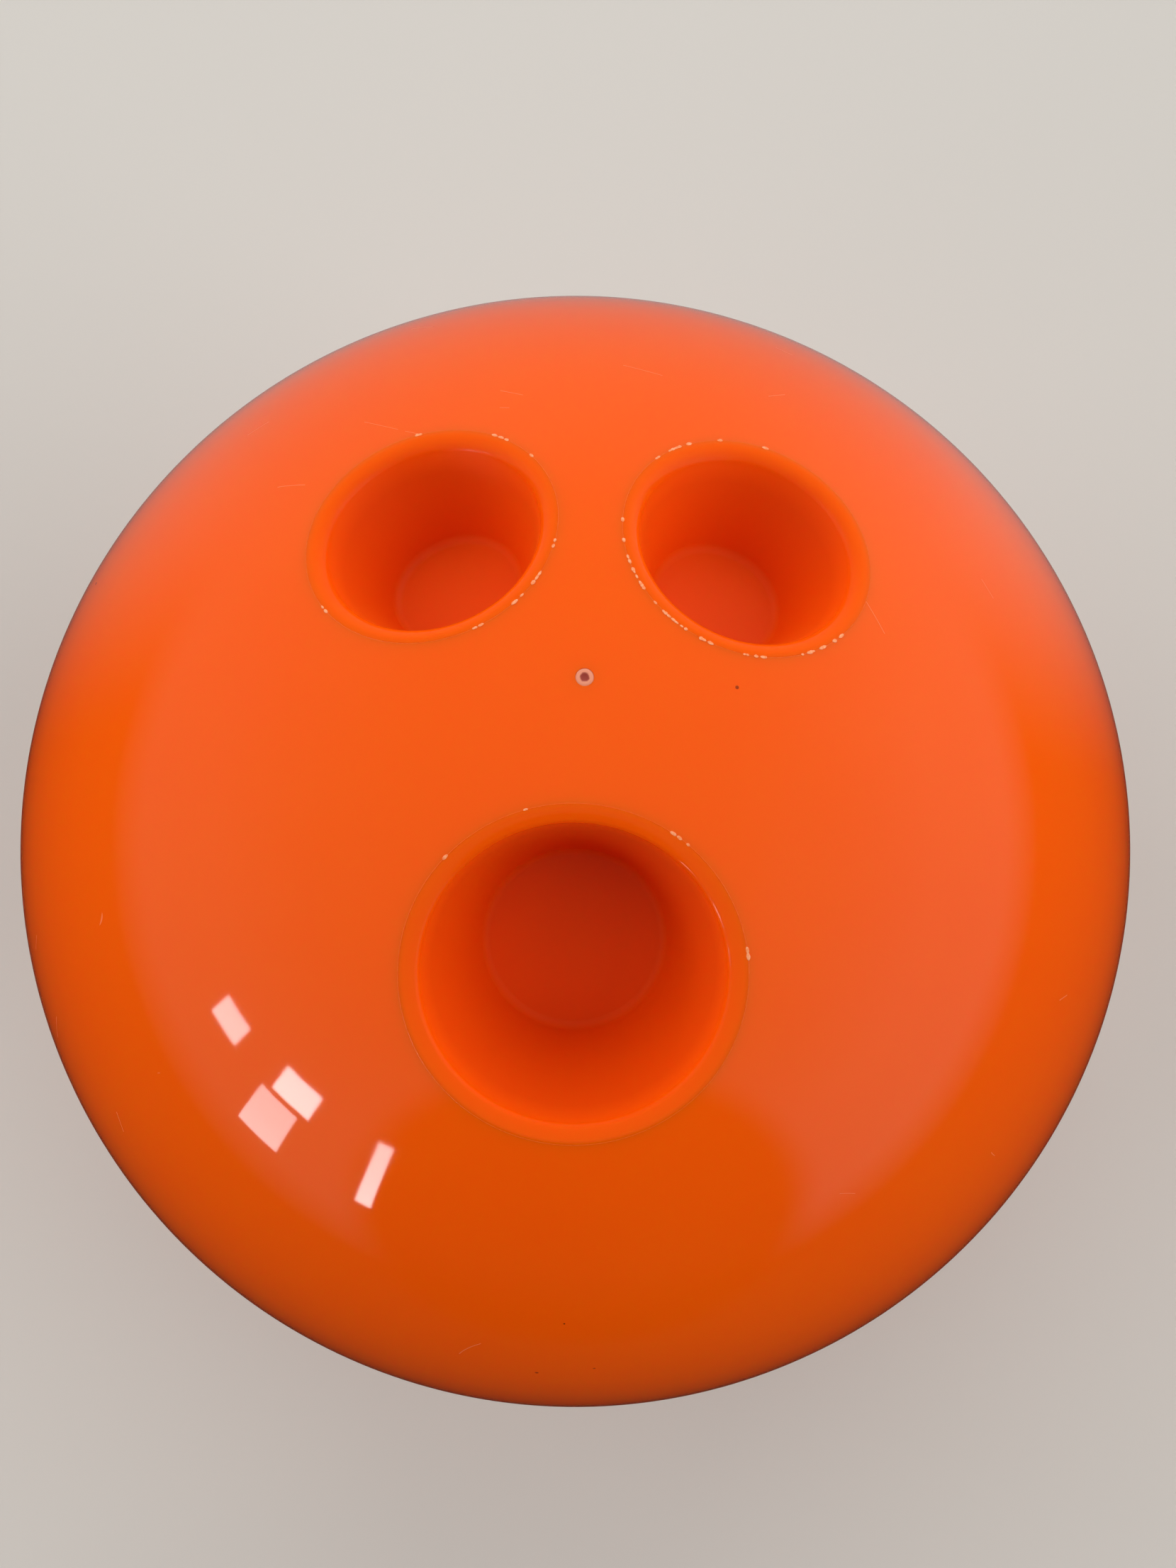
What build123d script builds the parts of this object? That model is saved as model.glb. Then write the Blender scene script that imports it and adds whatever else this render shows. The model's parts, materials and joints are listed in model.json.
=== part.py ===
from build123d import *
import math
import os

# Three-hole bowling ball of three-piece construction: a weight block and a light core with a plastic
# cover cast around them, and three grip slugs glued into pockets in the cover. Millimetres.
# The origin is the centre of the ball. +Z leaves through the pin at the middle of the grip, +Y is the
# finger side, -Y the thumb side, and X = 0 is the mirror plane of the grip.

# ---- overall sizes ------------------------------------------------------------------------------
ball_diameter = 218.0
cover_thickness = 30.0          # along a radius

# ---- grip layout, along the surface of the ball from the pin ------------------------------------
finger_reach = 23.0             # to the arc through the middles of both fingers, towards +Y
thumb_reach = 38.8              # to the middle of the thumb, towards -Y
finger_web = 1.24               # least plastic between the two finger slugs, at their bases

# ---- finger slugs, each on its own radius of the ball -------------------------------------------
finger_slug_radius = 17.8
finger_mouth_radius = 15.8      # where the taper of the cup meets the surface of the ball
finger_floor_radius = 9.6
finger_cup_depth = 16.0         # on the slug's axis, from the surface of the ball to the cup's floor
finger_lip_round = 2.3

# ---- thumb slug ---------------------------------------------------------------------------------
thumb_slug_radius = 22.3
thumb_rim_radius = 21.6         # where a shallow bevel round the cup meets the surface of the ball
thumb_rim_depth = 0.9           # how far the bevel lies below the surface where the cup begins
thumb_mouth_radius = 19.9       # where the taper of the cup meets the bevel
thumb_floor_radius = 13.1
thumb_cup_depth = 22.5
thumb_lip_round = 0.9

# ---- shared by all three slugs ------------------------------------------------------------------
cup_corner_round = 1.0          # inside corner between a cup's wall and its floor
slug_base = 4.0                 # solid plastic under the floor of a cup
slug_base_round = 1.5           # outside edge of the slug's base
glue_film = 0.12                # gap between a slug's side and its pocket

# ---- weight block: a drum whose domed top follows the core --------------------------------------
block_radius = 42.0
block_cover = 5.0               # core plastic over the block's dome
block_height = 34.0             # from the top of the dome to the flat underside
block_edge_round = 4.0

# ---- locating pin, cut flush with the ball ------------------------------------------------------
pin_radius = 1.2
pin_seat_depth = 8.0            # how far the pin stands in the block

# ---- worked out from the sizes above ------------------------------------------------------------
ball_radius = ball_diameter / 2
core_radius = ball_radius - cover_thickness
dome_radius = core_radius - block_cover
block_bottom = dome_radius - block_height
pin_bottom = dome_radius - pin_seat_depth
finger_tilt = math.degrees(finger_reach / ball_radius)
thumb_tilt = math.degrees(thumb_reach / ball_radius)

# The fingers spread until the nearest corners of their bases are finger_web apart.
finger_base = ball_radius - finger_cup_depth - slug_base
finger_spread = math.degrees(math.atan2(finger_slug_radius, finger_base)
                             + math.asin(finger_web / 2 / math.hypot(finger_slug_radius, finger_base)))


def seat(tilt, side):
    """Place on the surface of the ball, +Z outwards, leant towards +Y and turned towards +X."""
    return Rot(X=-tilt) * Rot(Y=side) * Pos(Z=ball_radius)


def sag(radius):
    """Depth of the ball's surface below a seat, at this distance from the seat's axis."""
    return ball_radius - math.sqrt(ball_radius**2 - radius**2)


def turned(*points):
    """Solid of revolution about Z from a closed outline of (radius, height) points."""
    return revolve(make_face(Plane.XZ * Polyline(*points, close=True)), Axis.Z)


def ring_edge(solid, radius, height):
    """The round edge of a solid that lies nearest to this radius and height."""
    rings = solid.edges().filter_by(GeomType.CIRCLE)
    return min(rings, key=lambda ring: abs(ring.radius - radius) + abs(ring.arc_center.Z - height))


def slug(slug_radius, cup, lip_round):
    """Slug in the frame of its seat: a round blank cut to the ball, with a cup in it.

    cup holds the (radius, height) points of the cup's wall, outwards from its floor to the ball.
    The wall runs on in a straight line past its last point, and is clear of the ball from there.
    """
    (floor_radius, floor), lip, before, rim = cup[0], cup[1], cup[-2], cup[-1]
    past = (2 * rim[0] - before[0], 2 * rim[1] - before[1])
    base = floor - slug_base
    above = slug_radius
    ball = Pos(Z=-ball_radius) * Sphere(ball_radius)
    blank = turned((0, base), (slug_radius, base), (slug_radius, above), (0, above)) & ball
    piece = blank - turned((0, floor), *cup, past, (past[0], above), (0, above))
    piece = fillet(ring_edge(piece, *lip), lip_round)
    piece = fillet(ring_edge(piece, floor_radius, floor), cup_corner_round)
    return fillet(ring_edge(piece, slug_radius, base), slug_base_round)


def pocket(slug_radius, cup_depth):
    """Space cut for a slug in the frame of its seat: its base touches and its side has a glue film."""
    base = -(cup_depth + slug_base)
    above = slug_radius
    wall = slug_radius + glue_film
    return turned((0, base), (wall, base), (wall, above), (0, above))


def finger_slug():
    """The cup's taper runs from its floor straight to the surface of the ball."""
    return slug(finger_slug_radius,
                [(finger_floor_radius, -finger_cup_depth),
                 (finger_mouth_radius, -sag(finger_mouth_radius))],
                finger_lip_round)


def thumb_slug():
    """The cup's taper runs from its floor to a shallow bevel, which meets the surface of the ball."""
    return slug(thumb_slug_radius,
                [(thumb_floor_radius, -thumb_cup_depth),
                 (thumb_mouth_radius, -sag(thumb_mouth_radius) - thumb_rim_depth),
                 (thumb_rim_radius, -sag(thumb_rim_radius))],
                thumb_lip_round)


left_finger_seat = seat(finger_tilt, -finger_spread)
right_finger_seat = seat(finger_tilt, finger_spread)
thumb_seat = seat(-thumb_tilt, 0)

finger_pocket = pocket(finger_slug_radius, finger_cup_depth)
pockets = [left_finger_seat * finger_pocket,
           right_finger_seat * finger_pocket,
           thumb_seat * pocket(thumb_slug_radius, thumb_cup_depth)]

# The pin runs from its seat in the block to the surface, through the core and the cover.
pin_blank = extrude(Plane.XY.offset(pin_bottom) * Circle(pin_radius), ball_radius - pin_bottom)
locating_pin = pin_blank & Sphere(ball_radius)

drum = extrude(Plane.XY.offset(block_bottom) * Circle(block_radius), block_height)
weight_block = drum & Sphere(dome_radius)
weight_block = fillet(ring_edge(weight_block, block_radius, block_bottom), block_edge_round)

core = Sphere(core_radius) - weight_block - pin_blank
weight_block -= pin_blank

cover = Sphere(ball_radius) - Sphere(core_radius) - pin_blank
for space in pockets:
    cover -= space
    core -= space

nodes = {
    "coverstock": cover,
    "filler_core": core,
    "weight_block": weight_block,
    "locating_pin": locating_pin,
    "left_finger_slug": left_finger_seat * finger_slug(),
    "right_finger_slug": right_finger_seat * finger_slug(),
    "thumb_slug": thumb_seat * thumb_slug(),
}

os.makedirs("parts", exist_ok=True)
for name, solid in nodes.items():
    solid.label = name
    export_step(solid, os.path.join("parts", name + ".step"))
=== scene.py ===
"""Looks of a three-hole bowling ball: its cast cover, grip slugs, glue lines and pin, and a plain studio."""

import json
import logging
import math
import random
from dataclasses import dataclass, field
from enum import Enum
from typing import Any

import bmesh
import bpy
from mathutils import Matrix, Vector


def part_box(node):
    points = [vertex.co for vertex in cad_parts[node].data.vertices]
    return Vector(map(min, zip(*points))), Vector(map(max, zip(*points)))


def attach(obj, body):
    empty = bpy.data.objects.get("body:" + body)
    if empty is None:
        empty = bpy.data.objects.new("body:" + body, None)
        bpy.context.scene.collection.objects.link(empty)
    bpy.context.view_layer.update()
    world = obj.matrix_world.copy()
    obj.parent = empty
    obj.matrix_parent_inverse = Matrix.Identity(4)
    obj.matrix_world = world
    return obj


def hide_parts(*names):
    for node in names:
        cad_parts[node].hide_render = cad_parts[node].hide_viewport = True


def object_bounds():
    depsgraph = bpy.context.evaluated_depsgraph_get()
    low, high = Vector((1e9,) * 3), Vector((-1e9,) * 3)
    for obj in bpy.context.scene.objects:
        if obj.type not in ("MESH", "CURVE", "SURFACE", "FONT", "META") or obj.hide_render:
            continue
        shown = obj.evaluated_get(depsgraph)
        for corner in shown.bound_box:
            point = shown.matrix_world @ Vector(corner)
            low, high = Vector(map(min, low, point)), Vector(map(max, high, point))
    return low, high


log = logging.getLogger("bowling_ball")

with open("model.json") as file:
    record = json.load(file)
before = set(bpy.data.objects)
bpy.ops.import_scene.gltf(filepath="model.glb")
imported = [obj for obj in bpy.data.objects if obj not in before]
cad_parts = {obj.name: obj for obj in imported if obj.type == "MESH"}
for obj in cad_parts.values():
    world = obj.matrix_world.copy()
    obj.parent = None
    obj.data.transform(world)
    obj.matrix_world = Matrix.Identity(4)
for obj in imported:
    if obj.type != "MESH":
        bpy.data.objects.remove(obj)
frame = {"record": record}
cad_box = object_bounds()

MM = 0.001
BODY = "root"
MERGE = 0.001 * MM                       # points nearer than this become one
TOUCH = 0.01 * MM                        # a point this near to a ring or surface lies on it
SHARP_FOLD = 40.0                        # degrees; an edge that folds more is shaded sharp
RED_GLOW = (1.0, 0.25, 0.06)             # how far red, green and blue light spread inside orange plastic

Outline = list[tuple[float, float]]      # radius and height of each corner


# ---- helpers --------------------------------------------------------------------------------------

def linear(hex_colour: str) -> tuple[float, float, float, float]:
    """Turn an sRGB hex colour into the linear colour that shaders use.

    Args:
        hex_colour: six hex digits, such as "f2570f".

    Returns:
        Linear red, green, blue and an alpha of 1.
    """
    channels = [int(hex_colour[i:i + 2], 16) / 255 for i in (0, 2, 4)]
    red, green, blue = (c / 12.92 if c <= 0.04045 else ((c + 0.055) / 1.055) ** 2.4 for c in channels)
    return red, green, blue, 1.0


def add_node(tree: bpy.types.NodeTree, kind: str, links: dict[str | int, Any] | None = None,
             **settings: Any) -> bpy.types.Node:
    """Add a node with its settings, input values and links.

    Args:
        tree: the node tree that the node joins.
        kind: the node's type name, such as "ShaderNodeMix".
        links: for each input, by name or index, a constant or the output socket that feeds it.
        settings: attributes of the node.

    Returns:
        The new node.
    """
    node = tree.nodes.new(kind)
    for name, value in settings.items():
        setattr(node, name, value)
    for key, value in (links or {}).items():
        socket = node.inputs[key]
        if isinstance(value, bpy.types.NodeSocket):
            tree.links.new(value, socket)
        else:
            socket.default_value = value
    return node


def new_material(name: str) -> tuple[bpy.types.Material, bpy.types.NodeTree, bpy.types.NodeSocket]:
    """Make an empty node material.

    Args:
        name: the material's name.

    Returns:
        The material, its node tree and the Object coordinates socket.
    """
    material = bpy.data.materials.new(name)
    material.use_nodes = True
    tree = material.node_tree
    tree.nodes.clear()
    coordinates = add_node(tree, "ShaderNodeTexCoord")
    return material, tree, coordinates.outputs["Object"]


def spin_outline(bm: bmesh.types.BMesh, outline: Outline, segments: int, closed: bool = False) -> None:
    """Turn an outline about the Z axis into a shell whose faces point outwards.

    Args:
        bm: the bmesh that the shell is made in.
        outline: radius and height of each corner.
        segments: how many steps the full turn takes.
        closed: whether the last corner joins the first, as in a ring.
    """
    points = [bm.verts.new((radius, 0.0, height)) for radius, height in outline]
    ends = points[1:] + points[:1] if closed else points[1:]
    edges = [bm.edges.new(pair) for pair in zip(points, ends)]
    bmesh.ops.spin(bm, geom=points + edges, axis=(0, 0, 1), cent=(0, 0, 0), angle=2 * math.pi,
                   steps=segments, use_merge=True)
    bmesh.ops.remove_doubles(bm, verts=bm.verts, dist=MERGE)
    bmesh.ops.recalc_face_normals(bm, faces=bm.faces)


def sharpen(bm: bmesh.types.BMesh, degrees: float) -> None:
    """Mark the edges that fold by more than an angle as sharp.

    Args:
        bm: the bmesh whose edges are marked.
        degrees: the angle.
    """
    for edge in bm.edges:
        edge.smooth = len(edge.link_faces) == 2 and edge.calc_face_angle(0.0) < math.radians(degrees)


def mesh_object(bm: bmesh.types.BMesh, name: str, material: bpy.types.Material) -> bpy.types.Object:
    """Turn a finished bmesh into a smooth-shaded object at the origin, and free the bmesh.

    Args:
        bm: the finished bmesh, with every point in its place in the ball's frame.
        name: the object's name.
        material: its first material.

    Returns:
        The new object.
    """
    mesh = bpy.data.meshes.new(name)
    bm.to_mesh(mesh)
    bm.free()
    mesh.shade_smooth()
    mesh.materials.append(material)
    piece = bpy.data.objects.new(name, mesh)
    bpy.context.scene.collection.objects.link(piece)
    return piece


def place_around(azimuth: float, elevation: float, distance: float) -> Vector:
    """Find a place by the way to it from the centre of the ball.

    Args:
        azimuth: degrees, from the thumb side towards +X.
        elevation: degrees above the level of the centre.
        distance: metres from the centre.

    Returns:
        The place, in metres.
    """
    turn, rise = math.radians(azimuth), math.radians(elevation)
    return distance * Vector((math.sin(turn) * math.cos(rise), -math.cos(turn) * math.cos(rise),
                              math.sin(rise)))


def mount(name: str) -> tuple[Vector, Vector]:
    """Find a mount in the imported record.

    Args:
        name: the mount's name.

    Returns:
        Its place in metres and its unit axis.
    """
    found = next(m for m in frame["record"]["mounts"] if m["name"] == name)
    return Vector(found["pos_m"]), Vector(found["axis"]).normalized()


core_low, core_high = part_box("filler_core")
CORE_RADIUS = (core_high[0] - core_low[0]) / 2
ball_low, ball_high = cad_box
BALL_RADIUS = (ball_high[2] - ball_low[2]) / 2


def sag(radius: float) -> float:
    """Find how far the surface of the ball has fallen below the plane that touches it.

    Args:
        radius: distance from the point of contact, along the plane.

    Returns:
        The fall, in metres.
    """
    return BALL_RADIUS - math.sqrt(BALL_RADIUS ** 2 - radius ** 2)


# ---- finishes -------------------------------------------------------------------------------------

@dataclass(frozen=True)
class Speck:
    """A round speck of dirt on the cover, placed by the way to it from the centre of the ball."""

    way: tuple[float, float, float]
    radius: float


@dataclass(frozen=True)
class ScratchSet:
    """Scratches that run one way: how their pattern is turned and shifted on the ball."""

    turn: tuple[float, float, float]
    shift: float


@dataclass(frozen=True)
class CastPolyester:
    """Cast orange polyester, turned and polished: a wet gloss over colour that glows at thin edges."""

    orange: str = "fd6004"
    deep_orange: str = "fb5803"
    pit: str = "5a1606"
    scuff: str = "ffa070"
    ior: float = 1.56
    gloss_roughness: float = 0.035
    haze_roughness: float = 0.03         # what handling adds to it in patches
    haze_size: float = 12 * MM
    haze_levels: tuple[float, float] = (0.35, 0.75)   # of the noise, where the haze starts and is full
    cloud_size: float = 35 * MM          # soft drifts of pigment in the casting
    peel_size: float = 6 * MM            # faint waves left by the polishing wheel
    peel_depth: float = 0.05 * MM
    peel_strength: float = 0.06
    pit_spacing: float = 14 * MM         # pits come one to a cell, and most cells have none
    pit_share: float = 0.12              # how many of the cells have one
    pit_radius: float = 0.28 * MM
    specks: tuple[Speck, ...] = (Speck((0.18, 0.0, 0.98), 0.3 * MM),
                                 Speck((-0.03, -0.86, 0.51), 0.35 * MM),
                                 Speck((0.05, -0.85, 0.53), 0.25 * MM))
    speck_strength: float = 0.7
    speck_core: float = 0.6              # how much of a speck's radius is at full strength
    scratch_sets: tuple[ScratchSet, ...] = (ScratchSet((0.4, 0.2, 1.3), 0.0),
                                            ScratchSet((1.3, 0.6, 2.0), 3.0))
    scratch_spacing: float = 14 * MM
    scratch_width: float = 0.007         # as a share of the spacing: 0.1 mm
    scratch_bend: float = 3.0            # in spacings, over one bend of the warp
    warp_size: float = 60 * MM
    patch_size: float = 14 * MM          # a scratch shows only inside patches of this size
    patch_level: float = 0.68            # and the higher this is, the fewer they are
    scratch_strength: float = 0.3
    subsurface: float = 0.35
    glow_depth: float = 2.2 * MM

    def material(self) -> bpy.types.Material:
        """Build the material of the cover.

        Returns:
            The material.
        """
        material, tree, place = new_material("cast polyester, polished")
        cloud = add_node(tree, "ShaderNodeTexNoise", {"Vector": place, "Scale": 1 / self.cloud_size,
                                                      "Detail": 2.0})
        clean = add_node(tree, "ShaderNodeMix", {"Factor": cloud.outputs["Fac"],
                                                 6: linear(self.deep_orange), 7: linear(self.orange)},
                         data_type="RGBA").outputs[2]
        pitted = add_node(tree, "ShaderNodeMix", {"Factor": self.dirt(tree, place), 6: clean,
                                                  7: linear(self.pit)}, data_type="RGBA").outputs[2]
        faint = add_node(tree, "ShaderNodeMath", {0: self.scratches(tree, place),
                                                  1: self.scratch_strength}, operation="MULTIPLY")
        worn = add_node(tree, "ShaderNodeMix", {"Factor": faint.outputs[0], 6: pitted,
                                                7: linear(self.scuff)}, data_type="RGBA").outputs[2]
        haze = add_node(tree, "ShaderNodeTexNoise", {"Vector": place, "Scale": 1 / self.haze_size,
                                                     "Detail": 4.0})
        gloss = add_node(tree, "ShaderNodeMapRange", {"Value": haze.outputs["Fac"],
                                                      1: self.haze_levels[0], 2: self.haze_levels[1],
                                                      3: self.gloss_roughness,
                                                      4: self.gloss_roughness + self.haze_roughness})
        rough = add_node(tree, "ShaderNodeMath", {0: gloss.outputs[0], 1: faint.outputs[0]},
                         operation="ADD")
        peel = add_node(tree, "ShaderNodeTexNoise", {"Vector": place, "Scale": 1 / self.peel_size})
        bump = add_node(tree, "ShaderNodeBump", {"Height": peel.outputs["Fac"],
                                                 "Strength": self.peel_strength,
                                                 "Distance": self.peel_depth})
        shader = add_node(tree, "ShaderNodeBsdfPrincipled",
                          {"Base Color": worn, "Roughness": rough.outputs[0], "IOR": self.ior,
                           "Subsurface Weight": self.subsurface, "Subsurface Radius": RED_GLOW,
                           "Subsurface Scale": self.glow_depth, "Normal": bump.outputs[0]})
        add_node(tree, "ShaderNodeOutputMaterial", {"Surface": shader.outputs[0]})
        return material

    def dirt(self, tree: bpy.types.NodeTree, place: bpy.types.NodeSocket) -> bpy.types.NodeSocket:
        """Settle dirt in small scattered pits, and in a few larger specks at places of their own.

        Args:
            tree: the material's node tree.
            place: the Object coordinates.

        Returns:
            How dirty the surface is, from 0 to 1.
        """
        cells = add_node(tree, "ShaderNodeTexVoronoi", {"Vector": place, "Scale": 1 / self.pit_spacing})
        inside = add_node(tree, "ShaderNodeMath",
                          {0: cells.outputs["Distance"], 1: self.pit_radius / self.pit_spacing},
                          operation="LESS_THAN")
        chosen = add_node(tree, "ShaderNodeMath", {0: cells.outputs["Color"], 1: self.pit_share},
                          operation="LESS_THAN")
        dirty = add_node(tree, "ShaderNodeMath", {0: inside.outputs[0], 1: chosen.outputs[0]},
                         operation="MULTIPLY").outputs[0]
        for speck in self.specks:
            centre = tuple(Vector(speck.way).normalized() * BALL_RADIUS)
            gap = add_node(tree, "ShaderNodeVectorMath", {0: place, 1: centre}, operation="DISTANCE")
            near = add_node(tree, "ShaderNodeMapRange", {"Value": gap.outputs["Value"],
                                                         1: speck.radius * self.speck_core,
                                                         2: speck.radius,
                                                         3: self.speck_strength, 4: 0.0})
            dirty = add_node(tree, "ShaderNodeMath", {0: dirty, 1: near.outputs[0]},
                             operation="MAXIMUM").outputs[0]
        return dirty

    def scratches(self, tree: bpy.types.NodeTree, place: bpy.types.NodeSocket) -> bpy.types.NodeSocket:
        """Draw hairline scratches from use, broken up so that most of the ball is clean.

        Args:
            tree: the material's node tree.
            place: the Object coordinates.

        Returns:
            1 on a scratch and 0 beside it.
        """
        lines = None
        for one in self.scratch_sets:
            turned = add_node(tree, "ShaderNodeMapping", {"Vector": place, "Rotation": one.turn,
                                                          "Location": (one.shift,) * 3})
            warp = add_node(tree, "ShaderNodeTexNoise", {"Vector": turned.outputs[0],
                                                         "Scale": 1 / self.warp_size, "Detail": 0.0})
            band = add_node(tree, "ShaderNodeVectorMath", {0: turned.outputs[0],
                                                           1: (1 / self.scratch_spacing,) * 3},
                            operation="MULTIPLY")
            along = add_node(tree, "ShaderNodeSeparateXYZ", {0: band.outputs[0]})
            bent = add_node(tree, "ShaderNodeMath", {0: warp.outputs["Fac"], 1: self.scratch_bend,
                                                     2: along.outputs[0]}, operation="MULTIPLY_ADD")
            part = add_node(tree, "ShaderNodeMath", {0: bent.outputs[0]}, operation="FRACT")
            thin = add_node(tree, "ShaderNodeMath", {0: part.outputs[0], 1: self.scratch_width},
                            operation="LESS_THAN")
            patch = add_node(tree, "ShaderNodeTexNoise", {"Vector": turned.outputs[0],
                                                          "Scale": 1 / self.patch_size, "Detail": 1.0})
            here = add_node(tree, "ShaderNodeMath", {0: patch.outputs["Fac"], 1: self.patch_level},
                            operation="GREATER_THAN")
            line = add_node(tree, "ShaderNodeMath", {0: thin.outputs[0], 1: here.outputs[0]},
                            operation="MULTIPLY").outputs[0]
            lines = line if lines is None else add_node(tree, "ShaderNodeMath", {0: lines, 1: line},
                                                        operation="MAXIMUM").outputs[0]
        return lines


@dataclass(frozen=True)
class MouldedSlug:
    """Moulded orange plastic: polished with the ball at the lip and duller in the cup, with painted shade
    deepening its colour down in the cup.
    """

    orange: str = "fb5a03"
    deep_orange: str = "e84c02"          # painted shade, deep in the cup
    ior: float = 1.54
    specular_level: float = 0.22
    lip_roughness: float = 0.06
    cup_roughness: float = 0.55
    polish_depth: float = 2.4 * MM       # how far the polishing reaches below the surface of the ball
    grain_size: float = 0.35 * MM
    grain_depth: float = 0.03 * MM
    grain_strength: float = 0.08
    subsurface: float = 0.35
    glow_depth: float = 2.2 * MM

    def material(self) -> bpy.types.Material:
        """Build the material of the three slugs.

        Returns:
            The material.
        """
        material, tree, place = new_material("moulded plastic, satin")
        reach = add_node(tree, "ShaderNodeVectorMath", {0: place}, operation="LENGTH")
        rough = add_node(tree, "ShaderNodeMapRange",
                         {"Value": reach.outputs["Value"], 1: BALL_RADIUS - self.polish_depth,
                          2: BALL_RADIUS - self.polish_depth / 3, 3: self.cup_roughness,
                          4: self.lip_roughness})
        # Painted shade: the colour runs from orange at the lip to deep_orange deep in the cup, where shade
        # falls.
        painted_cup_shade = add_node(tree, "ShaderNodeMapRange",
                           {"Value": reach.outputs["Value"], 1: BALL_RADIUS - 2 * self.polish_depth,
                            2: BALL_RADIUS})
        colour = add_node(tree, "ShaderNodeMix", {"Factor": painted_cup_shade.outputs[0],
                                                  6: linear(self.deep_orange), 7: linear(self.orange)},
                          data_type="RGBA").outputs[2]
        grain = add_node(tree, "ShaderNodeTexNoise", {"Vector": place, "Scale": 1 / self.grain_size})
        bump = add_node(tree, "ShaderNodeBump", {"Height": grain.outputs["Fac"],
                                                 "Strength": self.grain_strength,
                                                 "Distance": self.grain_depth})
        shader = add_node(tree, "ShaderNodeBsdfPrincipled",
                          {"Base Color": colour, "Roughness": rough.outputs[0], "IOR": self.ior,
                           "Specular IOR Level": self.specular_level,
                           "Subsurface Weight": self.subsurface, "Subsurface Radius": RED_GLOW,
                           "Subsurface Scale": self.glow_depth, "Normal": bump.outputs[0]})
        add_node(tree, "ShaderNodeOutputMaterial", {"Surface": shader.outputs[0]})
        return material


@dataclass(frozen=True)
class CuredFiller:
    """A cast or squeezed-out filler: dull, with two tones in small lumps."""

    name: str
    light: str
    dark: str
    lump_size: float
    roughness: float = 0.6
    ior: float = 1.5
    lump_strength: float = 0.3
    lump_depth: float = 0.2              # in lump sizes
    tone_levels: tuple[float, float] = (0.4, 0.6)     # of the noise, where it is all dark and all light

    def material(self) -> bpy.types.Material:
        """Build the material.

        Returns:
            The material.
        """
        material, tree, place = new_material(self.name)
        lumps = add_node(tree, "ShaderNodeTexNoise", {"Vector": place, "Scale": 1 / self.lump_size,
                                                      "Detail": 5.0})
        tone = add_node(tree, "ShaderNodeMapRange", {"Value": lumps.outputs["Fac"],
                                                     1: self.tone_levels[0], 2: self.tone_levels[1]})
        colour = add_node(tree, "ShaderNodeMix", {"Factor": tone.outputs[0], 6: linear(self.dark),
                                                  7: linear(self.light)}, data_type="RGBA").outputs[2]
        bump = add_node(tree, "ShaderNodeBump", {"Height": lumps.outputs["Fac"],
                                                 "Strength": self.lump_strength,
                                                 "Distance": self.lump_size * self.lump_depth})
        shader = add_node(tree, "ShaderNodeBsdfPrincipled",
                          {"Base Color": colour, "Roughness": self.roughness, "IOR": self.ior,
                           "Normal": bump.outputs[0]})
        add_node(tree, "ShaderNodeOutputMaterial", {"Surface": shader.outputs[0]})
        return material


@dataclass(frozen=True)
class PinResin:
    """Dark red cast resin whose cut edge has whitened into a pale ring."""

    dark: str = "9a3a2c"
    pale: str = "e89070"
    ior: float = 1.54
    roughness: float = 0.3
    ring_start: float = 0.65 * MM        # where the dark middle starts to turn pale
    ring_end: float = 0.85 * MM
    fray_size: float = 0.5 * MM          # lumps that fray the ring's inner edge
    fray_reach: float = 0.3 * MM

    def material(self) -> bpy.types.Material:
        """Build the material of the locating pin.

        Returns:
            The material.
        """
        material, tree, place = new_material("cast resin, dark red")
        flat = add_node(tree, "ShaderNodeVectorMath", {0: place, 1: (1.0, 1.0, 0.0)},
                        operation="MULTIPLY")
        reach = add_node(tree, "ShaderNodeVectorMath", {0: flat.outputs[0]}, operation="LENGTH")
        fray = add_node(tree, "ShaderNodeTexNoise", {"Vector": place, "Scale": 1 / self.fray_size})
        frayed = add_node(tree, "ShaderNodeMath", {0: fray.outputs["Fac"], 1: self.fray_reach,
                                                   2: reach.outputs["Value"]},
                          operation="MULTIPLY_ADD")
        ring = add_node(tree, "ShaderNodeMapRange", {"Value": frayed.outputs[0], 1: self.ring_start,
                                                     2: self.ring_end})
        colour = add_node(tree, "ShaderNodeMix", {"Factor": ring.outputs[0], 6: linear(self.dark),
                                                  7: linear(self.pale)}, data_type="RGBA").outputs[2]
        shader = add_node(tree, "ShaderNodeBsdfPrincipled",
                          {"Base Color": colour, "Roughness": self.roughness, "IOR": self.ior})
        add_node(tree, "ShaderNodeOutputMaterial", {"Surface": shader.outputs[0]})
        return material


# ---- the ball -------------------------------------------------------------------------------------

class Grip(Enum):
    """The three holes of the grip, by the name that their nodes and mounts start with."""

    LEFT_FINGER = "left_finger"
    RIGHT_FINGER = "right_finger"
    THUMB = "thumb"

    @property
    def slot(self) -> str:
        """Name meant for the material slot of the slug in this hole; no slot is given it here."""
        return "thumb_slug" if self is Grip.THUMB else "finger_slug"


@dataclass(frozen=True)
class BeadArc:
    """A stretch of the joint, from and to an angle in degrees, with some beads of squeezed-out filler."""

    start: float
    end: float
    count: int


@dataclass(frozen=True)
class SlugSize:
    """Sizes of a slug and of the cup in it, apart from its depth."""

    radius: float
    floor_radius: float
    mouth: tuple[tuple[float, float], ...]   # outwards: radius, depth under the surface of the ball
    lip_reach: float                     # how far the rounding of the mouth runs back, each way


FINGER_SLUG = SlugSize(17.8 * MM, 9.6 * MM, ((15.8 * MM, 0.0),), 1.72 * MM)
THUMB_SLUG = SlugSize(22.3 * MM, 13.1 * MM, ((19.9 * MM, 0.9 * MM), (21.6 * MM, 0.0)), 0.44 * MM)


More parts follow.
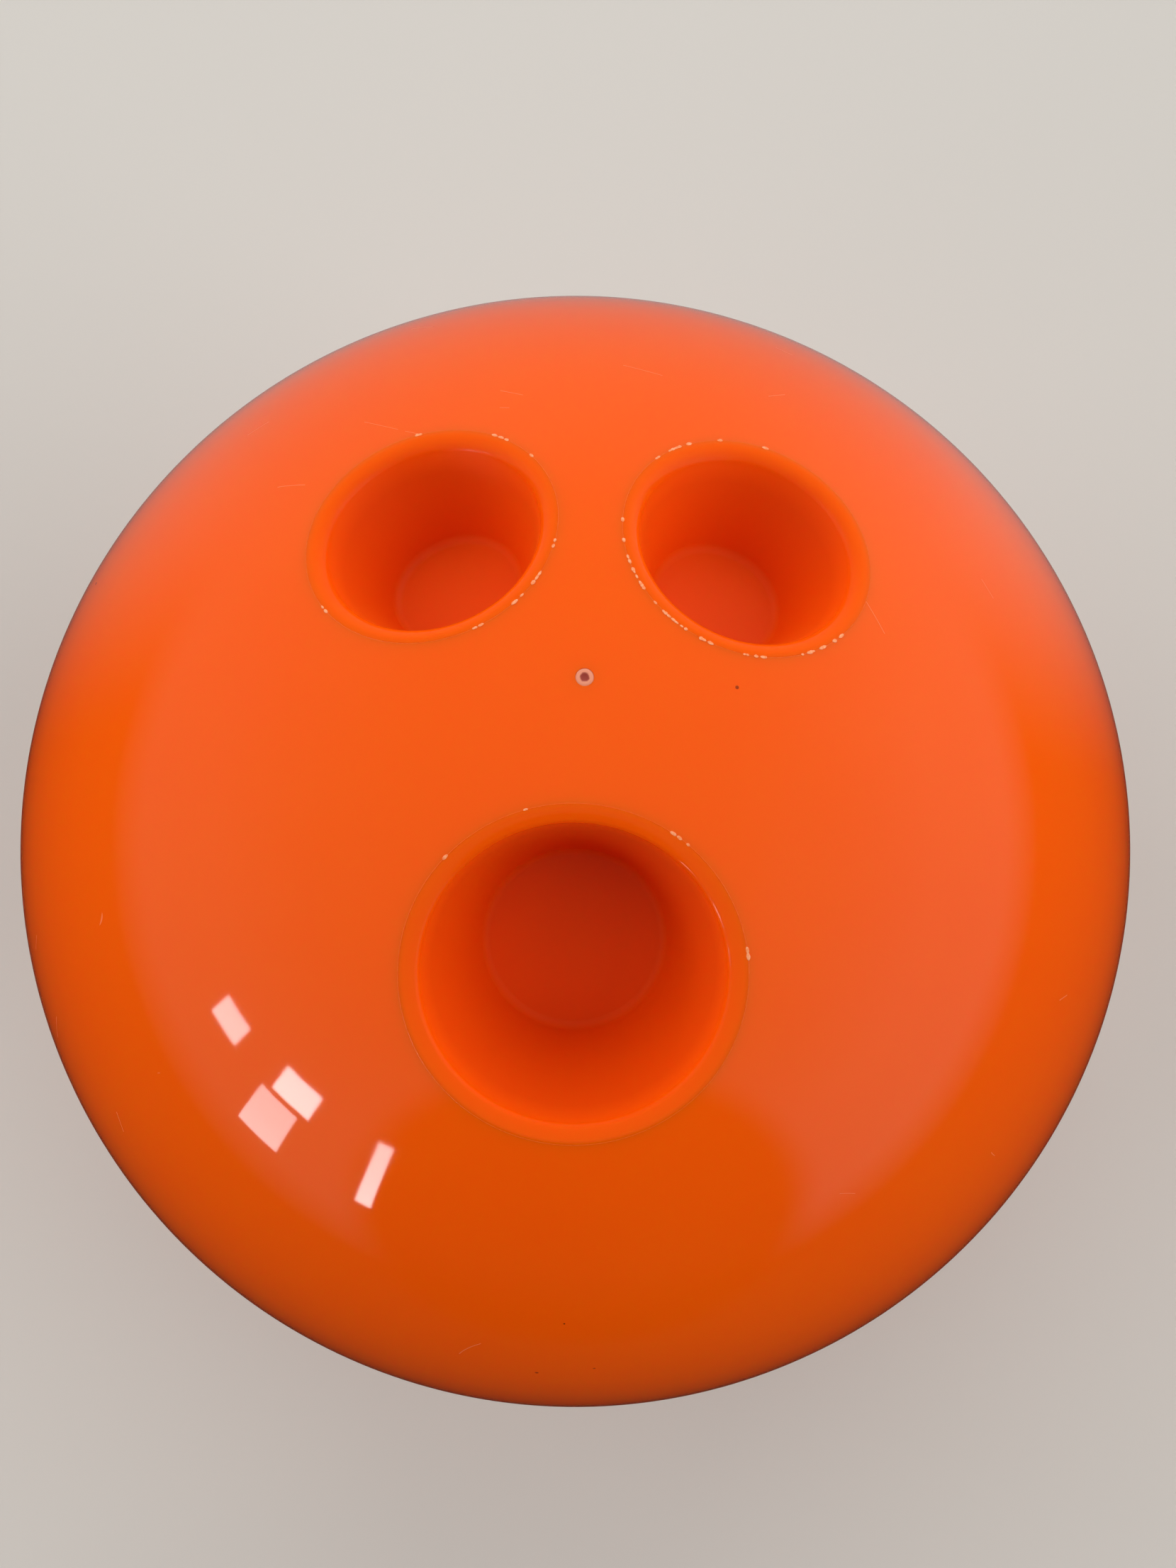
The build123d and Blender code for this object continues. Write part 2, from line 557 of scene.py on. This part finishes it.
@dataclass
class GripSlug:
    """A slug glued into its pocket, turned about its own radius of the ball."""

    grip: Grip
    size: SlugSize
    bead_arcs: tuple[BeadArc, ...]
    corner_reach: float = 1.0 * MM       # how far the rounding round the cup's floor runs back
    base_reach: float = 1.5 * MM         # and the rounding round the slug's base
    base: float = 4.0 * MM               # thickness of the plastic under the cup
    segments: int = 192
    lip_facets: int = 10                 # how many faces each rounding gets
    corner_facets: int = 6
    base_facets: int = 4
    glue_film: float = 0.12 * MM
    glue_depth: float = 1.2 * MM         # how far down the joint the filler shows
    glue_sink: float = 0.008 * MM        # how far the filler has shrunk below the surface of the ball
    glue_fill: float = 0.98              # how much of the joint's width it fills
    bead_radius: tuple[float, float] = (0.15 * MM, 0.32 * MM)
    bead_length: tuple[float, float] = (1.0, 2.0)   # along the joint, in bead radii, as are the next two
    bead_height: float = 0.2
    bead_dents: float = 0.05
    axis: Vector = field(init=False)
    cup_depth: float = field(init=False)
    seat: Matrix = field(init=False)     # from the slug's own frame, with Z outwards, to the ball's

    def __post_init__(self) -> None:
        """Read the cup's floor and axis from the record."""
        floor, self.axis = mount(f"{self.grip.value}_cup_floor")
        self.cup_depth = BALL_RADIUS - floor.length
        sideways = Vector((0.0, 1.0, 0.0)).cross(self.axis).normalized()
        turn = Matrix((sideways, self.axis.cross(sideways), self.axis)).transposed()
        self.seat = Matrix.Translation(self.axis * BALL_RADIUS) @ turn.to_4x4()

    @property
    def pocket_radius(self) -> float:
        """Radius of the pocket in the cover."""
        return self.size.radius + self.glue_film

    @property
    def pocket_depth(self) -> float:
        """Depth of the pocket, from the plane that touches the ball at the seat."""
        return self.cup_depth + self.base

    def build(self, material: bpy.types.Material) -> bpy.types.Object:
        """Spin the slug's outline, from the cup's floor to its base, and round its edges.

        Args:
            material: the slug's plastic.

        Returns:
            The slug, in place of its CAD node.
        """
        bm = bmesh.new()
        lips = [(radius, -sag(radius) - depth) for radius, depth in self.size.mouth]
        spin_outline(bm, [(0.0, -self.cup_depth), (self.size.floor_radius, -self.cup_depth), *lips,
                          (self.size.radius, -sag(self.size.radius)),
                          (self.size.radius, -self.pocket_depth), (0.0, -self.pocket_depth)],
                     self.segments)
        self.round_ring(bm, *lips[0], self.size.lip_reach, self.lip_facets)
        self.round_ring(bm, self.size.floor_radius, -self.cup_depth, self.corner_reach,
                        self.corner_facets)
        self.round_ring(bm, self.size.radius, -self.pocket_depth, self.base_reach, self.base_facets)
        sharpen(bm, SHARP_FOLD)
        bmesh.ops.transform(bm, matrix=self.seat, verts=bm.verts)
        piece = mesh_object(bm, f"{self.grip.value}_slug_turned", material)
        piece.modifiers.new("even shading", "WEIGHTED_NORMAL").keep_sharp = True
        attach(piece, BODY)
        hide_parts(f"{self.grip.value}_slug")
        return piece

    def round_ring(self, bm: bmesh.types.BMesh, radius: float, height: float, reach: float,
                   facets: int) -> None:
        """Round the ring of edges at a radius and height.

        Args:
            bm: the slug, still in the frame of its seat.
            radius: the ring's radius.
            height: the ring's height.
            reach: how far the rounding runs back along each face.
            facets: how many faces the rounding gets.
        """
        ring = [edge for edge in bm.edges
                if all(abs(v.co.xy.length - radius) < TOUCH and abs(v.co.z - height) < TOUCH
                       for v in edge.verts)]
        bmesh.ops.bevel(bm, geom=ring, offset=reach, offset_type="OFFSET", affect="EDGES",
                        segments=facets, profile=0.5, material=-1)

    def build_glue(self, line: bpy.types.Material, bead_paint: bpy.types.Material) -> bpy.types.Object:
        """Fill the joint round the slug and set the squeezed-out beads of filler along it.

        Args:
            line: the filler in the joint.
            bead_paint: the paler filler of the beads.

        Returns:
            The glue line with its beads.
        """
        bm = bmesh.new()
        middle = self.size.radius + self.glue_film / 2
        half = self.glue_film * self.glue_fill / 2
        top = -sag(middle) - self.glue_sink
        bottom = top - self.glue_depth
        spin_outline(bm, [(middle - half, bottom), (middle - half, top), (middle + half, top),
                          (middle + half, bottom)], self.segments, closed=True)
        self.set_beads(bm, middle)
        bmesh.ops.transform(bm, matrix=self.seat, verts=bm.verts)
        piece = mesh_object(bm, f"{self.grip.value}_glue_line", line)
        piece.data.materials.append(bead_paint)
        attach(piece, BODY)
        return piece

    def set_beads(self, bm: bmesh.types.BMesh, radius: float) -> None:
        """Set dented beads of squeezed-out filler along the joint, in the second material.

        Args:
            bm: the glue line, still in the frame of its seat.
            radius: radius of the middle of the joint.
        """
        chance = random.Random(self.grip.value)
        for arc in self.bead_arcs:
            for _ in range(arc.count):
                angle = math.radians(chance.uniform(arc.start, arc.end))
                size = chance.uniform(*self.bead_radius)
                length = chance.uniform(*self.bead_length)
                place = Vector((radius * math.cos(angle), radius * math.sin(angle), -sag(radius)))
                shape = (Matrix.Translation(place) @ Matrix.Rotation(angle, 4, "Z")
                         @ Matrix.Diagonal((1.0, length, self.bead_height, 1.0)))
                bead = bmesh.ops.create_icosphere(bm, subdivisions=2, radius=size, matrix=shape)
                for vertex in bead["verts"]:
                    dent = [chance.uniform(-self.bead_dents, self.bead_dents) * size for _ in range(3)]
                    vertex.co += Vector(dent)
                    for face in vertex.link_faces:
                        face.material_index = 1


@dataclass
class LocatingPin:
    """Pin through the cover at the middle of the grip, with a punched dimple in its end."""

    radius: float = 1.2 * MM
    dimple_radius: float = 0.5 * MM
    dimple_floor: float = 0.3 * MM
    dimple_depth: float = 0.12 * MM
    edge_width: float = 0.12 * MM        # the end is cut flush and its edge has worn a little
    edge_depth: float = 0.1 * MM
    sharp_fold: float = 50.0
    segments: int = 96

    def build(self, material: bpy.types.Material) -> bpy.types.Object:
        """Spin the pin's outline, from the dimple to the CAD node's lower end.

        Args:
            material: the pin's resin.

        Returns:
            The pin, in place of its CAD node.
        """
        lower_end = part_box("locating_pin")[0][2]
        top = BALL_RADIUS - sag(self.radius)
        bm = bmesh.new()
        spin_outline(bm, [(0.0, top - self.dimple_depth), (self.dimple_floor, top - self.dimple_depth),
                          (self.dimple_radius, top), (self.radius - self.edge_width, top),
                          (self.radius, top - self.edge_depth), (self.radius, lower_end),
                          (0.0, lower_end)], self.segments)
        sharpen(bm, self.sharp_fold)
        piece = mesh_object(bm, "locating_pin_turned", material)
        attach(piece, BODY)
        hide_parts("locating_pin")
        return piece


@dataclass
class BallCover:
    """The cast cover: a polished sphere with three pockets and a pin hole, hollow for the core."""

    slugs: list[GripSlug]
    pin: LocatingPin
    segments: int = 320
    rings: int = 160
    core_rings: int = 40

    def build(self, material: bpy.types.Material) -> bpy.types.Object:
        """Cut the pockets and the pin hole into a sphere and line it with the core's seat.

        Args:
            material: the cover's polyester.

        Returns:
            The cover, in place of its CAD node.
        """
        bm = bmesh.new()
        bmesh.ops.create_uvsphere(bm, u_segments=self.segments, v_segments=self.rings,
                                  radius=BALL_RADIUS)
        for slug in self.slugs:
            self.sink_pocket(bm, self.cut_round(bm, slug.axis, slug.pocket_radius, BALL_RADIUS), slug)
        upwards = Vector((0.0, 0.0, 1.0))
        self.cut_round(bm, upwards, self.pin.radius, BALL_RADIUS)
        inner = bmesh.new()
        bmesh.ops.create_uvsphere(inner, u_segments=self.segments, v_segments=self.core_rings,
                                  radius=CORE_RADIUS)
        self.cut_round(inner, upwards, self.pin.radius, CORE_RADIUS)
        bmesh.ops.reverse_faces(inner, faces=inner.faces)
        lining = bpy.data.meshes.new("lining")
        inner.to_mesh(lining)
        inner.free()
        bm.from_mesh(lining)
        bpy.data.meshes.remove(lining)
        bmesh.ops.bridge_loops(bm, edges=[edge for edge in bm.edges if edge.is_boundary])
        sharpen(bm, SHARP_FOLD)
        piece = mesh_object(bm, "cover_polished", material)
        self.true_normals(piece.data)
        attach(piece, BODY)
        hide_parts("coverstock")
        return piece

    def cut_round(self, bm: bmesh.types.BMesh, axis: Vector, radius: float,
                  sphere_radius: float) -> list[bmesh.types.BMEdge]:
        """Cut a round opening into a sphere.

        Args:
            bm: the sphere.
            axis: unit vector from the centre of the sphere through the opening.
            radius: radius of the opening.
            sphere_radius: radius of the sphere.

        Returns:
            The edges of the opening's rim.
        """
        height = math.sqrt(sphere_radius ** 2 - radius ** 2)
        bmesh.ops.bisect_plane(bm, geom=bm.verts[:] + bm.edges[:] + bm.faces[:], dist=MERGE,
                               plane_co=axis * height, plane_no=axis, clear_outer=True)
        rim = [edge for edge in bm.edges if edge.is_boundary
               and all(abs(v.co.dot(axis) - height) < TOUCH for v in edge.verts)]
        for vertex in {v for edge in rim for v in edge.verts}:
            outwards = (vertex.co - axis * vertex.co.dot(axis)).normalized()
            vertex.co = axis * height + outwards * radius
        return rim

    def sink_pocket(self, bm: bmesh.types.BMesh, rim: list[bmesh.types.BMEdge],
                    slug: GripSlug) -> None:
        """Draw a rim straight down into the ball and close the pocket with a floor.

        Args:
            bm: the cover.
            rim: the edges of the pocket's rim.
            slug: the slug that the pocket is for.
        """
        walls = bmesh.ops.extrude_edge_only(bm, edges=rim)
        lower = [g for g in walls["geom"] if isinstance(g, bmesh.types.BMVert)]
        fall = slug.pocket_depth - sag(slug.pocket_radius)
        bmesh.ops.translate(bm, verts=lower, vec=slug.axis * -fall)
        lower_edges = [g for g in walls["geom"] if isinstance(g, bmesh.types.BMEdge) and g.is_boundary]
        bmesh.ops.edgeloop_fill(bm, edges=lower_edges)

    def true_normals(self, mesh: bpy.types.Mesh) -> None:
        """Shade the outside as the exact sphere, so that reflections run clean up to each opening.

        Args:
            mesh: the cover's mesh.
        """
        normals = [Vector(n.vector) for n in mesh.corner_normals]
        for polygon in mesh.polygons:
            corners = [mesh.vertices[v].co for v in polygon.vertices]
            if all(abs(co.length - BALL_RADIUS) < TOUCH for co in corners):
                for loop, co in zip(polygon.loop_indices, corners):
                    normals[loop] = co.normalized()
        mesh.normals_split_custom_set(normals)


def finish_cast_nodes() -> list[bpy.types.Object]:
    """Give the core and the weight block, which stay as CAD nodes, their cast materials.

    Returns:
        The two nodes' objects.
    """
    finishes = {"filler_core": CuredFiller("cast light filler", "cdbfa2", "b3a283", 2.5 * MM),
                "weight_block": CuredFiller("cast dense filler", "55565c", "38393e", 0.9 * MM, 0.5)}
    for node, finish in finishes.items():
        materials = bpy.data.objects[node].data.materials
        materials.clear()
        materials.append(finish.material())
    return [bpy.data.objects[node] for node in finishes]


# ---- the studio -----------------------------------------------------------------------------------

@dataclass(frozen=True)
class SoftLight:
    """A soft box: a rectangular area light aimed at the ball."""

    name: str
    azimuth: float                       # degrees, from the thumb side towards +X
    elevation: float
    width: float
    height: float
    watts: float
    glints: bool = True                  # whether the gloss shows it
    distance: float = 1.65

    def hang(self) -> None:
        """Add the light to the scene, with its face to the ball."""
        light = bpy.data.lights.new(self.name, "AREA")
        light.shape = "RECTANGLE"
        light.size, light.size_y, light.energy = self.width, self.height, self.watts
        place = place_around(self.azimuth, self.elevation, self.distance)
        lamp = bpy.data.objects.new(self.name, light)
        lamp.matrix_world = (Matrix.Translation(place)
                             @ (-place).to_track_quat("-Z", "Y").to_matrix().to_4x4())
        lamp.visible_glossy = self.glints
        bpy.context.scene.collection.objects.link(lamp)


@dataclass(frozen=True)
class Falloff:
    """A value of the surroundings that runs from low to high as a direction turns towards a way."""

    way: tuple[float, float, float]
    start: float                         # cosines of the angles to the way where the run starts and ends
    end: float
    low: float = 0.0
    high: float = 1.0

    def shade(self, tree: bpy.types.NodeTree, direction: bpy.types.NodeSocket) -> bpy.types.NodeSocket:
        """Work the value out in the world's nodes.

        Args:
            tree: the world's node tree.
            direction: the direction looked in.

        Returns:
            The value.
        """
        along = add_node(tree, "ShaderNodeVectorMath", {0: direction, 1: self.way},
                         operation="DOT_PRODUCT")
        return add_node(tree, "ShaderNodeMapRange", {"Value": along.outputs["Value"], 1: self.start,
                                                     2: self.end, 3: self.low, 4: self.high},
                        interpolation_type="SMOOTHSTEP").outputs[0]


UPRIGHT = (-0.011, -0.167, 0.986)        # the walls' own up: they lean to the thumb side


@dataclass(frozen=True)
class Studio:
    """Pale floor, pale walls, soft lights and the camera."""

    floor_size: float = 6.0
    floor_paint: str = "c9c5be"
    floor_roughness: float = 0.7
    backdrop: str = "cfcac3"             # the plain pale wall past the floor
    # The walls' shade at each height, from 0 straight down to 1 straight up.
    walls: tuple[tuple[float, float], ...] = ((0.0, 0.012), (0.44, 0.015), (0.52, 0.26), (0.67, 0.30),
                                              (0.85, 0.2), (1.0, 0.17))
    back_wall: Falloff = Falloff((0.0, 1.0, 0.0), 0.2, 0.7)
    back_shade: Falloff = Falloff(UPRIGHT, 0.1, 0.7, 0.29, 0.17)
    bright_side: Falloff = Falloff((1.0, 0.0, 0.0), 0.2, 0.9, 1.0, 1.5)
    dark_front: Falloff = Falloff((0.04, -0.99, 0.09), 0.80, 0.87, 1.0, 0.05)
    lights: tuple[SoftLight, ...] = (
        SoftLight("fill_left", -95.0, 30.0, 1.5, 1.5, 15.0, False),
        SoftLight("fill_right", 80.0, 30.0, 1.5, 1.5, 17.0, False),
        SoftLight("fill_back", 180.0, 30.0, 1.5, 1.5, 14.0, False),
        SoftLight("overhead", 180.0, 80.0, 1.2, 1.2, 4.5, False),
        SoftLight("pane_left", -58.0, 11.0, 0.17, 0.15, 0.6),
        SoftLight("pane_middle_upper", -43.5, 12.0, 0.2, 0.17, 1.1),
        SoftLight("pane_middle_lower", -45.0, 3.0, 0.2, 0.28, 1.0),
        SoftLight("pane_right", -28.0, 7.0, 0.07, 0.42, 0.8))
    sensor_width: float = 36.0           # mm
    lens: float = 36.1                   # mm
    distance: float = 0.2563             # from the centre of the ball
    azimuth: float = -0.34               # degrees, from the thumb side towards +X
    elevation: float = 79.09
    aim: tuple[float, float, float] = (0.0018, 0.0117, 0.0029)
    roll: float = -2.04                  # degrees
    nearest: float = 0.01                # the camera sees nothing nearer than this

    def build(self) -> None:
        """Make the floor, the walls, the lights and the camera."""
        self.make_floor()
        self.make_walls()
        for light in self.lights:
            light.hang()
        self.make_camera()
        bpy.context.scene.view_settings.view_transform = "Standard"

    def make_floor(self) -> None:
        """Lay a plain pale floor under the ball, which the gloss doesn't show."""
        material, tree, _ = new_material("studio floor")
        shader = add_node(tree, "ShaderNodeBsdfPrincipled", {"Base Color": linear(self.floor_paint),
                                                             "Roughness": self.floor_roughness})
        add_node(tree, "ShaderNodeOutputMaterial", {"Surface": shader.outputs[0]})
        bm = bmesh.new()
        bmesh.ops.create_grid(bm, x_segments=1, y_segments=1, size=self.floor_size / 2,
                              matrix=Matrix.Translation((0.0, 0.0, -BALL_RADIUS)))
        floor = mesh_object(bm, "floor", material)
        floor.visible_glossy = False

    def make_walls(self) -> None:
        """Surround the ball with pale walls that its gloss shows, dark in front and plain to the camera."""
        world = bpy.data.worlds.new("studio")
        world.use_nodes = True
        tree = world.node_tree
        tree.nodes.clear()
        direction = add_node(tree, "ShaderNodeTexCoord").outputs["Generated"]
        height = add_node(tree, "ShaderNodeVectorMath", {0: direction, 1: UPRIGHT},
                          operation="DOT_PRODUCT")
        level = add_node(tree, "ShaderNodeMapRange", {"Value": height.outputs["Value"], 1: -1.0, 2: 1.0})
        ramp = add_node(tree, "ShaderNodeValToRGB", {0: level.outputs[0]})
        elements = ramp.color_ramp.elements
        while len(elements) < len(self.walls):
            elements.new(0.5)
        for element, (position, shade) in zip(elements, self.walls):
            element.position = position
            element.color = (shade, shade, shade, 1.0)
        strength = add_node(tree, "ShaderNodeMath", {0: self.bright_side.shade(tree, direction),
                                                     1: self.dark_front.shade(tree, direction)},
                            operation="MULTIPLY")
        wall = add_node(tree, "ShaderNodeMix", {"Factor": self.back_wall.shade(tree, direction),
                                                2: ramp.outputs[0],
                                                3: self.back_shade.shade(tree, direction)})
        around = add_node(tree, "ShaderNodeBackground", {"Color": wall.outputs[0],
                                                         "Strength": strength.outputs[0]})
        plain = add_node(tree, "ShaderNodeBackground", {"Color": linear(self.backdrop)})
        seen = add_node(tree, "ShaderNodeLightPath").outputs["Is Camera Ray"]
        both = add_node(tree, "ShaderNodeMixShader", {0: seen, 1: around.outputs[0],
                                                      2: plain.outputs[0]})
        add_node(tree, "ShaderNodeOutputWorld", {"Surface": both.outputs[0]})
        bpy.context.scene.world = world

    def make_camera(self) -> None:
        """Set the camera nearly above the ball, a little to the thumb side."""
        camera = bpy.data.cameras.new("camera")
        camera.sensor_fit = "HORIZONTAL"
        camera.sensor_width = self.sensor_width
        camera.lens = self.lens
        camera.clip_start = self.nearest
        place = place_around(self.azimuth, self.elevation, self.distance)
        look = (Vector(self.aim) - place).normalized()
        side = look.cross(Vector((0.0, 1.0, 0.0))).normalized()
        turn = Matrix((side, side.cross(look), -look)).transposed().to_4x4()
        holder = bpy.data.objects.new("camera", camera)
        holder.matrix_world = (Matrix.Translation(place) @ turn
                               @ Matrix.Rotation(math.radians(-self.roll), 4, "Z"))
        bpy.context.scene.collection.objects.link(holder)
        bpy.context.scene.camera = holder


# ---- everything together --------------------------------------------------------------------------

def grip_slugs() -> list[GripSlug]:
    """Describe the three slugs, each with the beads of filler along its joint.

    Returns:
        The slugs: left finger, right finger, thumb.
    """
    left_beads = (BeadArc(58, 72, 5), BeadArc(40, 44, 1), BeadArc(-12, -4, 2), BeadArc(-45, -25, 6),
                  BeadArc(-66, -54, 3), BeadArc(218, 225, 2), BeadArc(98, 108, 2))
    right_beads = (BeadArc(112, 136, 11), BeadArc(55, 104, 4), BeadArc(172, 190, 4),
                   BeadArc(195, 253, 26), BeadArc(258, 282, 4), BeadArc(290, 318, 8))
    thumb_beads = (BeadArc(8, 18, 4), BeadArc(50, 60, 3), BeadArc(104, 108, 1), BeadArc(138, 142, 1))
    return [GripSlug(Grip.LEFT_FINGER, FINGER_SLUG, left_beads),
            GripSlug(Grip.RIGHT_FINGER, FINGER_SLUG, right_beads),
            GripSlug(Grip.THUMB, THUMB_SLUG, thumb_beads)]


def main() -> None:
    logging.basicConfig(level=logging.INFO)
    Studio().build()
    slug_plastic = MouldedSlug().material()
    line = CuredFiller("cured adhesive", "fd681a", "fa5c0c", 0.4 * MM, 0.2).material()
    bead_paint = CuredFiller("squeezed-out adhesive", "ffa878", "fb8a50", 0.4 * MM, 0.35).material()
    slugs = grip_slugs()
    pieces = []
    for slug in slugs:
        pieces += [slug.build(slug_plastic), slug.build_glue(line, bead_paint)]
    pin = LocatingPin()
    pieces.append(pin.build(PinResin().material()))
    pieces.append(BallCover(slugs, pin).build(CastPolyester().material()))
    pieces += finish_cast_nodes()
    for piece in pieces:
        log.info("%s: %d faces", piece.name, len(piece.data.polygons))


if __name__ == "__main__":
    main()
